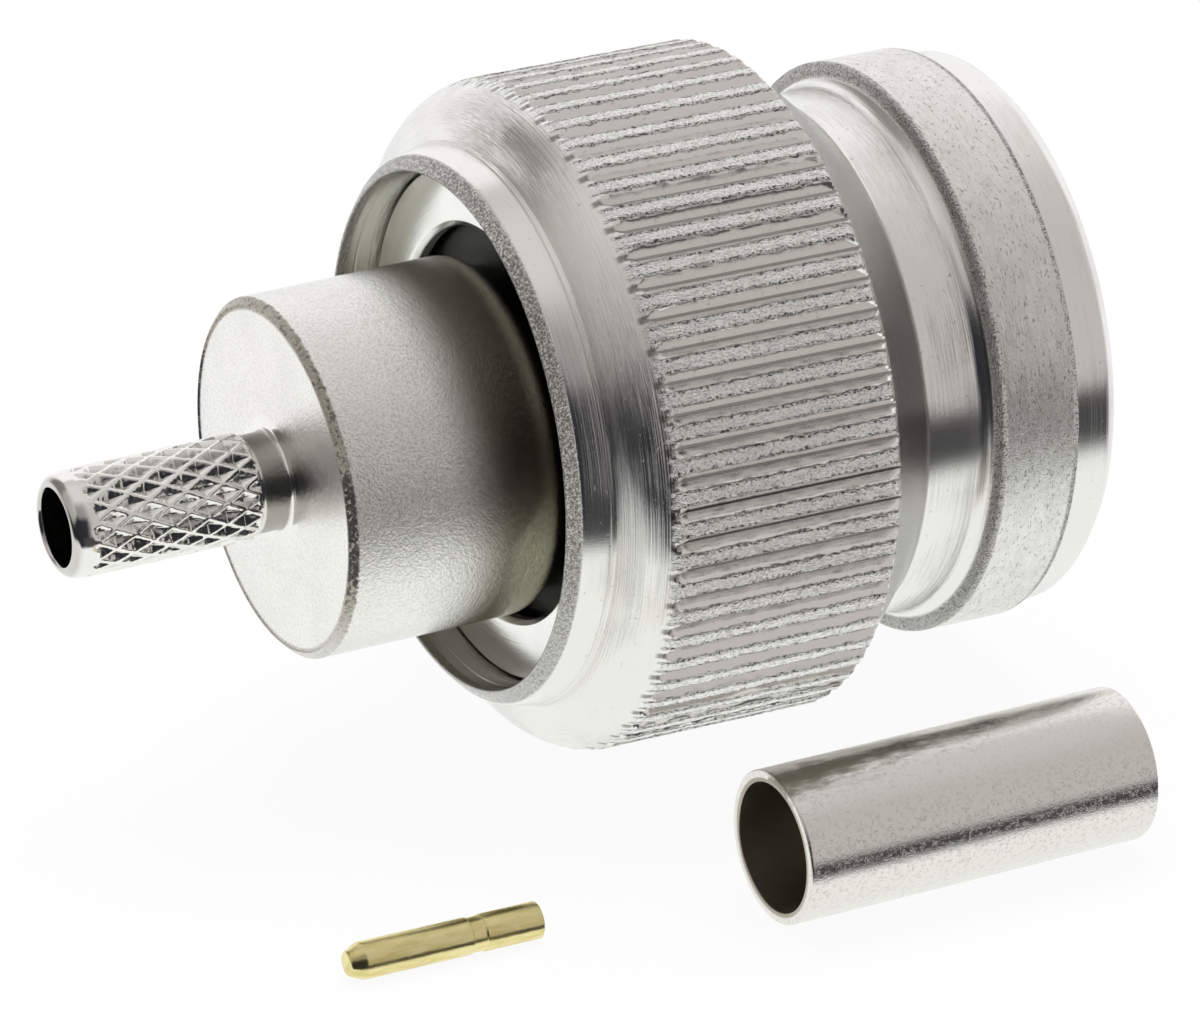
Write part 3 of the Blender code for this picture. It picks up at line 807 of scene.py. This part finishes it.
def nut_mesh(nut):
    """The blank of the nut: its turned outside, its stepped bore and its thread."""
    fine = nut_columns(nut)
    coarse = even(len(fine) // 5)
    recess, collar, crest, valley = nut.recess_radius, nut.collar_radius, nut.crest_radius, nut.valley_radius
    groove, ring, rim = nut.groove_radius, nut.ring_radius, nut.rim_radius
    rear = rounded([
        (0.00048, recess, 0), (0.00046, recess + 0.000015, 0),
        (0.00043, recess + 0.000015, 0), (0.00041, recess, 0),
        (0.0, recess, 0.00003),
        (0.0, recess + 0.00008, 0.00004),
        (0.00024, nut.lip_radius, 0.00008),
        (0.00080, collar - 0.00004, 0), (0.00083, collar - 0.00008, 0),
        (0.00086, collar - 0.00003, 0),
    ])
    shoulder = []
    rise, run = crest - collar, 0.0013
    for step in range(19):
        angle = math.radians(90 * step / 18)
        shoulder.append((0.00096 + run * (1 - math.cos(angle)), collar + rise * math.sin(angle)))
    grip = divided(shoulder[8:] + [
        (0.00708, crest), (0.00714, crest - 0.00002),
        (0.00734, valley), (0.00776, valley - 0.0004),
    ], 0.00140, 0.00776, 0.00011)
    front = rounded([
        (0.00800, valley - 0.00062, 0),
        (0.00875, groove, 0.0001), (0.01004, groove, 0.00008),
        (0.01022, groove + 0.00012, 0.0001), (0.01031, groove + 0.00030, 0.00008),
        (0.01031, ring, 0.00006), (0.01221, ring, 0.00007),
        (0.01223, rim, 0.00004), (0.01306, rim, 0.00012),
        (0.01338, rim - 0.00032, 0.00006), (0.01338, nut.thread_crest + 0.0005, 0.00003),
        (THREAD_END, nut.thread_root, 0),
    ])
    ledge = WASHER_FRONT + CLEARANCE
    bore = rounded([
        (THREAD_START, nut.thread_root, 0), (THREAD_START, 0.0049, 0.00004), (0.00288, 0.0049, 0.00004),
        (0.00288, 0.0055, 0.00003), (ledge, 0.0055, 0.00003), (ledge, recess, 0),
    ])
    turning = Turning()
    rings = turning.rings(rear + shoulder[:8], coarse)
    rings += turning.rings(grip, fine) + turning.rings(front, coarse)
    first, last = thread_strip(turning, coarse, THREAD_START, THREAD_END, nut)
    rings.append(last)
    turning.loop(rings, closed=False)
    rest = [first] + turning.rings(bore[1:], coarse)
    turning.loop(rest, closed=False)
    turning.bridge(rest[-1], rings[0])
    return turning.mesh()


class TNC_OT_nut(bpy.types.Operator):
    """Make the coupling nut with its torn straight knurl and its inner thread"""
    bl_idname = "crimp_plug.nut"
    bl_label = "Coupling nut"

    def execute(self, context):
        nut, finishes = context.scene.plug_nut, context.scene.plug_finish
        finish = nut_finish(finishes, nut)
        mesh = baked(nut_mesh(nut), straight_knurl_tree, {
            "Material": finish, "Ridges": nut.ridges, "Crest radius": nut.crest_radius,
            "Valley radius": nut.valley_radius, "Groove share": nut.groove_share,
            "Floor share": nut.floor_share, "Tear depth": nut.tear_depth, "Edge wear": nut.edge_wear,
        })
        settle("coupling_nut", mesh, nut_place(), finish, 32, "coupling")
        return {"FINISHED"}


class TNC_OT_washer(bpy.types.Operator):
    """Make the washer that holds the nut on the body"""
    bl_idname = "crimp_plug.washer"
    bl_label = "Retaining washer"

    def execute(self, context):
        nut = context.scene.plug_nut
        outer, inner = nut.recess_radius - CLEARANCE, 0.00438
        line = rounded([
            (WASHER_FRONT, inner, 0.00004), (WASHER_FRONT, outer, 0.00004), (WASHER_REAR, outer, 0.00004),
            (WASHER_REAR, inner + 0.00013, 0.00003), (WASHER_REAR + 0.00013, inner, 0.00003),
        ])
        finish = plain_metal("washer_nickel", (0.98, 0.98, 0.96), 0.2, 16000, 0.000003)
        mesh = turned(line, 128)
        settle("retaining_washer", mesh, nut_place(), finish, 40, "coupling")
        return {"FINISHED"}


def body_line(body):
    """Line of the body from its spigot round the outside to the rear and back through the bore."""
    rear = -body.overhang
    mouth = rear - body.barrel_length
    wide, net, bore = body.body_radius, body.net_radius, body.bore_radius
    front = rounded([
        (0.00396, BEAD_RADIUS, 0.00005), (0.00396, 0.00325, 0.00006), (FLANGE_FRONT, 0.00325, 0),
        (FLANGE_FRONT, 0.0052, 0.00006), (0.00156, 0.0052, 0.00006), (0.00156, 0.00361, 0),
        (0.00100, 0.00361, 0.00005), (0.00093, 0.00378, 0.00008), (0.00080, wide - 0.00007, 0.0001),
        (0.00058, wide, 0.0002), (-0.0015, wide, 0),
        (rear + 0.00017, wide, 0.00004), (rear, wide - 0.00018, 0.00004),
    ])
    fillet = []
    for step in range(8):
        angle = math.radians(90 * step / 7)
        fillet.append((rear - 0.00013 * (1 - math.cos(angle)), 0.00122 - 0.00013 * math.sin(angle)))
    neck = [(rear - 0.00062, 0.00109), (rear - 0.00068, 0.00112), (rear - 0.00075, net)]
    lead = rounded([
        (mouth + 0.0005, net, 0), (mouth + 0.00034, net - 0.00001, 0.0001),
        (mouth + 0.00012, net - 0.00006, 0.0001), (mouth + 0.00002, net - 0.00018, 0.00006),
        (mouth, 0.00093, 0.00003), (mouth, bore + 0.00003, 0.00003),
        (mouth + 0.00006, bore, 0.00003), (rear + BORE_STEP, bore, 0),
        (rear + BORE_STEP, BEAD_RADIUS, 0),
    ])
    return front, fillet, neck, lead


class TNC_OT_body(bpy.types.Operator):
    """Make the body with its crimp barrel and the diamond knurl on it"""
    bl_idname = "crimp_plug.body"
    bl_label = "Body and crimp barrel"

    def execute(self, context):
        body, finishes = context.scene.plug_body, context.scene.plug_finish
        front, fillet, neck, lead = body_line(body)
        start, end = lead[0][0], neck[-1][0]
        rows = int(round((end - start) / (body.diamond_length / 32)))
        net = [(end + (start - end) * row / rows, body.net_radius) for row in range(1, rows)]
        turning = Turning()
        coarse, fine = even(8 * body.diamonds), even(16 * body.diamonds)
        turning.loop(turning.rings(front + fillet, coarse) + turning.rings(neck + net + lead[:7], fine) +
                     turning.rings(lead[7:], coarse))
        finish = body_finish(finishes)
        mesh = baked(turning.mesh(), diamond_knurl_tree, {
            "Material": finish, "Diamonds": body.diamonds, "Diamond length": body.diamond_length,
            "Line radius": body.net_radius, "Pit depth": body.pit_depth, "Line share": body.line_share,
            "Start": start, "End": end,
        })
        settle("plug_body", mesh, body_place(), finish, 35, "plug")
        return {"FINISHED"}


class TNC_OT_sleeve(bpy.types.Operator):
    """Make the slotted outer contact"""
    bl_idname = "crimp_plug.sleeve"
    bl_label = "Outer contact"

    def execute(self, context):
        body = context.scene.plug_body
        start, end = FLANGE_FRONT + CLEARANCE, SLEEVE_FRONT
        slot_start = end - body.slot_length
        half_slot = math.asin(body.slot_width / 2 / body.sleeve_radius)
        columns = 24
        angles = []
        for quarter in range(4):
            low = math.pi / 4 + quarter * math.pi / 2 + half_slot
            high = math.pi / 4 + (quarter + 1) * math.pi / 2 - half_slot
            angles += list(np.linspace(low, high, columns))
        places = list(np.linspace(start, slot_start, 5)) + list(np.linspace(slot_start, end, 7))[1:]
        turning = Turning()
        rows = turning.rings([(place, body.sleeve_radius) for place in places], angles)
        for place, a, b in zip(places, rows, rows[1:]):
            for i in range(len(a)):
                j = (i + 1) % len(a)
                if place < slot_start - MERGE or j % columns:
                    turning.faces.append((a[i], a[j], b[j], b[i]))
        mesh = bpy.data.meshes.new("sleeve")
        mesh.from_pydata(turning.points, [], turning.faces)
        holder = shown("blank", mesh)
        wall = holder.modifiers.new("Wall", "SOLIDIFY")
        wall.thickness = body.sleeve_radius - body.sleeve_bore
        wall.offset = -1
        edge = holder.modifiers.new("Edge", "BEVEL")
        edge.width = 0.00004
        edge.segments = 2
        edge.limit_method = "ANGLE"
        edge.angle_limit = math.radians(50)
        mesh = plain(holder)
        finish = plain_metal("sleeve_nickel", context.scene.plug_finish.nickel, 0.24, 14000, 0.000002)
        settle("outer_contact", mesh, body_place(), finish, 40, "plug")
        return {"FINISHED"}


class TNC_OT_insides(bpy.types.Operator):
    """Make the insulator and the gasket inside the plug"""
    bl_idname = "crimp_plug.insides"
    bl_label = "Insulator and gasket"

    def execute(self, context):
        body, finishes = context.scene.plug_body, context.scene.plug_finish
        front, step, tail = 0.00638, 0.00401, BORE_STEP - body.overhang + CLEARANCE
        bore, narrow, wide = 0.00046, BEAD_RADIUS - CLEARANCE, 0.00325
        line = rounded([
            (front, bore, 0.00008), (front, wide, 0.00012), (step, wide, 0.00003),
            (step, narrow, 0.00003), (tail, narrow, 0.0001), (tail, bore, 0.00006),
        ])
        mesh = turned(line, 96)
        finish = soft_finish("white_fluoropolymer", finishes.fluoropolymer, 0.42, 2600, 0.000006)
        settle("insulator", mesh, body_place(), finish, 40, "plug")

        rear, inner, fillet = FLANGE_FRONT + CLEARANCE, body.sleeve_radius + CLEARANCE, 0.00014
        front, outer = rear + 0.0008, inner + 0.0006
        line = rounded([(rear, inner, fillet), (rear, outer, fillet), (front, outer, fillet),
                        (front, inner, fillet)], 5)
        mesh = turned(line, 96)
        finish = soft_finish("silicone", finishes.silicone, 0.55, 5200, 0.000008)
        settle("gasket", mesh, body_place(), finish, 50, "plug")
        return {"FINISHED"}


class TNC_OT_loose(bpy.types.Operator):
    """Make the centre contact and the crimp ferrule that lie beside the plug"""
    bl_idname = "crimp_plug.loose"
    bl_label = "Contact and ferrule"

    def execute(self, context):
        loose, finishes = context.scene.plug_loose, context.scene.plug_finish
        half, outer, bore = loose.ferrule_length / 2, loose.ferrule_radius, loose.ferrule_bore
        line = rounded([
            (-half, bore, 0.00003), (-half, outer, 0.00006), (half, outer, 0.00006), (half, bore, 0.00003),
        ], 5)
        mesh = turned(divided(line, -half, half, 0.0015), 128)
        finish = ferrule_finish(finishes)
        settle("crimp_ferrule", mesh, ferrule_place(), finish, 50, "coupling")

        radius, bore = loose.pin_radius, loose.pin_radius - 0.00015
        cone = loose.pin_tip_length
        groove = cone + loose.pin_front_length
        rear = groove + loose.pin_groove_length
        end = rear + loose.pin_rear_length
        sunk = radius - 0.000028
        line = rounded([
            (0, 0, 0), (0, loose.pin_tip_radius, 0.00004), (cone, radius, 0.00006),
            (groove, radius, 0.000012), (groove + 0.00002, sunk, 0.00001), (rear - 0.00002, sunk, 0.00001),
            (rear, radius, 0.000012), (end, radius, 0.00004), (end, bore, 0.00003),
            (rear, bore, 0), (rear - 0.00012, 0, 0),
        ])
        line = [(place - end / 2, radius) for place, radius in line]
        mesh = turned(line, 64, closed=False)
        finish = contact_finish(finishes)
        settle("centre_contact", mesh, pin_place(), finish, 32, "coupling")
        return {"FINISHED"}


# Stage

def facing(w, x, y, azimuth, half_width, soft):
    """Share of a part of the room that stands in one direction, with soft sides; angles in degrees."""
    level = w.max(w.calc("SQRT", x * x + y * y), 0.001)
    away = math.radians(azimuth)
    towards = x * math.cos(away) + y * math.sin(away)
    outer = math.cos(math.radians(half_width + soft))
    inner = math.cos(math.radians(half_width - soft))
    return w.ramp(towards / level, outer, inner)


def studio_world(stage):
    """A plain room by direction: light ground and ceiling, one bright side, one dark side, grey walls."""
    world = bpy.data.worlds.new("studio")
    world.use_nodes = True
    world.node_tree.nodes.clear()
    w = Wiring(world.node_tree)
    x, y, z = w.parts(w.out("ShaderNodeTexCoord"))
    height = w.calc("ARCSINE", z) * (180 / math.pi)
    upper = facing(w, x, y, -110, 22, 16) * w.ramp(height, 50, 74, 1, 0)
    top = w.ramp(facing(w, x, y, -112, 36, 26), 0, 1, 3, 31, smooth=False)
    side = facing(w, x, y, -146, 60, 7) * w.ramp(height - top, -7, 9, 1, 0)
    edge = facing(w, x, y, -58, 42, 9) * w.ramp(height, -11, -7, 1, 0)
    horizon = w.ramp(facing(w, x, y, 165, 50, 22), 0, 1, -31, -19, smooth=False)
    room = w.layers(
        stage.wall,
        (w.ramp(height, 42, 80), stage.ceiling),
        (facing(w, x, y, 55, 47, 10) * w.between(height, -60, 51, 6), stage.window),
        (facing(w, x, y, 104, 24, 8) * w.between(height, -60, 0, 7), stage.window),
        (facing(w, x, y, 128, 18, 8) * w.between(height, 4, 56, 8), stage.back_wall),
        (upper, stage.upper_side),
        (side, stage.dark_side),
        (edge, stage.table_edge),
        (w.ramp(height - horizon, -3, 3, 1, 0), stage.ground),
    )
    background = w.out("ShaderNodeBackground", (room, 1))
    w.feed(w.node("ShaderNodeOutputWorld").inputs["Surface"], background)
    bpy.context.scene.world = world


def floor_finish(stage):
    """White paper: the camera sees it near white with its shadow, and shiny metal sees the studio."""
    material = bpy.data.materials.new("floor_paper")
    material.use_nodes = True
    material.node_tree.nodes.clear()
    w = Wiring(material.node_tree)
    paper = w.out("ShaderNodeBsdfDiffuse", [(*stage.floor, 1)])
    glow = w.out("ShaderNodeEmission", ((1, 1, 1, 1), 1))
    clear = w.out("ShaderNodeBsdfTransparent")
    seen = w.out("ShaderNodeMixShader", (0.93, paper, glow))
    to_camera, to_shiny, through = (w.out("ShaderNodeLightPath", output=name) for name in
                                    ("Is Camera Ray", "Is Glossy Ray", "Is Transmission Ray"))
    by_camera = w.out("ShaderNodeMixShader", (to_camera, paper, seen))
    mirrored = w.out("ShaderNodeMixShader", (w.max(to_shiny, through), by_camera, clear))
    w.feed(w.node("ShaderNodeOutputMaterial").inputs["Surface"], mirrored)
    return material


class TNC_OT_stage(bpy.types.Operator):
    """Make the floor, the studio light and the camera"""
    bl_idname = "crimp_plug.stage"
    bl_label = "Stage"

    def execute(self, context):
        stage = context.scene.plug_stage
        mesh = bpy.data.meshes.new("floor")
        corners = [(x * FLOOR_REACH, y * FLOOR_REACH, 0) for x, y in ((-1, -1), (1, -1), (1, 1), (-1, 1))]
        mesh.from_pydata(corners, [], [(0, 1, 2, 3)])
        mesh.materials.append(floor_finish(stage))
        floor = shown("floor", mesh)
        studio_world(stage)
        lamp = bpy.data.lights.new("soft_lamp", "AREA")
        lamp.shape = "DISK"
        lamp.size = 0.3
        lamp.energy = stage.lamp
        above = shown("soft_lamp", lamp)
        above.location = LAMP_PLACE
        above.rotation_euler = (-LAMP_PLACE).to_track_quat("-Z", "Y").to_euler()
        above.visible_glossy = False

        camera = bpy.data.cameras.new("camera")
        camera.lens = stage.lens
        camera.sensor_width = 36
        camera.clip_start = 0.001
        camera.clip_end = 10
        holder = shown("camera", camera)
        holder.location = CAMERA_PLACE
        holder.rotation_euler = (math.radians(90) - CAMERA_DOWN, 0, CAMERA_TURN)
        context.scene.camera = holder
        context.scene.view_settings.view_transform = "Standard"
        return {"FINISHED"}


class TNC_PT_panel(bpy.types.Panel):
    """Lists the operators and settings of the plug"""
    bl_idname = "TNC_PT_panel"
    bl_label = "Crimp plug"
    bl_space_type = "VIEW_3D"
    bl_region_type = "UI"
    bl_category = "Crimp plug"

    def draw(self, context):
        layout = self.layout
        for operator in OPERATORS:
            layout.operator(operator.bl_idname)
        for group in SETTINGS:
            box = layout.box()
            settings = getattr(context.scene, group)
            box.label(text=settings.bl_rna.name)
            for name in settings.bl_rna.properties.keys():
                if name not in ("rna_type", "name"):
                    box.prop(settings, name)


OPERATORS = (TNC_OT_nut, TNC_OT_washer, TNC_OT_body, TNC_OT_sleeve, TNC_OT_insides, TNC_OT_loose,
             TNC_OT_stage)
SETTINGS = {
    "plug_nut": NutSettings,
    "plug_body": BodySettings,
    "plug_loose": LooseSettings,
    "plug_finish": FinishSettings,
    "plug_stage": StageSettings,
}


def register():
    for group in SETTINGS.values():
        bpy.utils.register_class(group)
    for name, group in SETTINGS.items():
        setattr(bpy.types.Scene, name, PointerProperty(type=group))
    for operator in OPERATORS:
        bpy.utils.register_class(operator)
    bpy.utils.register_class(TNC_PT_panel)


def unregister():
    bpy.utils.unregister_class(TNC_PT_panel)
    for operator in reversed(OPERATORS):
        bpy.utils.unregister_class(operator)
    for name in SETTINGS:
        delattr(bpy.types.Scene, name)
    for group in reversed(list(SETTINGS.values())):
        bpy.utils.unregister_class(group)


def main():
    register()
    bpy.ops.crimp_plug.nut()
    bpy.ops.crimp_plug.washer()
    bpy.ops.crimp_plug.body()
    bpy.ops.crimp_plug.sleeve()
    bpy.ops.crimp_plug.insides()
    bpy.ops.crimp_plug.loose()
    bpy.ops.crimp_plug.stage()


if __name__ == "__main__":
    main()
